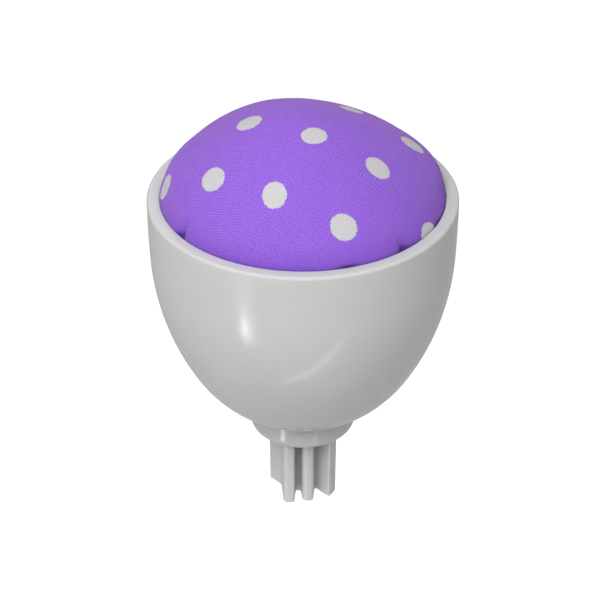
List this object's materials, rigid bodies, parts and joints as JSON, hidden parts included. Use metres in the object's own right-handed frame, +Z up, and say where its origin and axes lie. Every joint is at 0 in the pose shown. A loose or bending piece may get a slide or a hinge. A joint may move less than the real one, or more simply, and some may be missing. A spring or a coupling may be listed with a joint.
{
  "type": "pincushion cup",
  "caption": "Glossy egg-shaped cup on a finned plug-in peg, its mouth filled by a crowned polka-dot cotton pincushion, with a disc magnet hidden in its boss.",
  "frame": {"origin": "centre of the boss's flat underside, where the peg starts", "axes": "+Z up the cup's axis to the cushion's crown, -Y the cup's front, +X to its right"},
  "size_m": [0.05, 0.05, 0.0725],
  "materials": {
    "cup_plastic": "glossy moulded pale grey-white",
    "magnet": "sintered ferrite, matt",
    "glue": "hot-melt glue, translucent cream",
    "thread": "twisted polyester sewing thread",
    "card": "grey board",
    "fibre": "polyester fibre filling",
    "cotton": "plain-weave cotton, purple with white polka dots"
  },
  "bodies": {
    "root": {"bowl": "cup_plastic", "magnet": "magnet", "glue_bead": "glue", "gathering_thread": "thread", "base_disc": "card", "stuffing": "fibre", "cover": "cotton"}
  },
  "joints": []
}
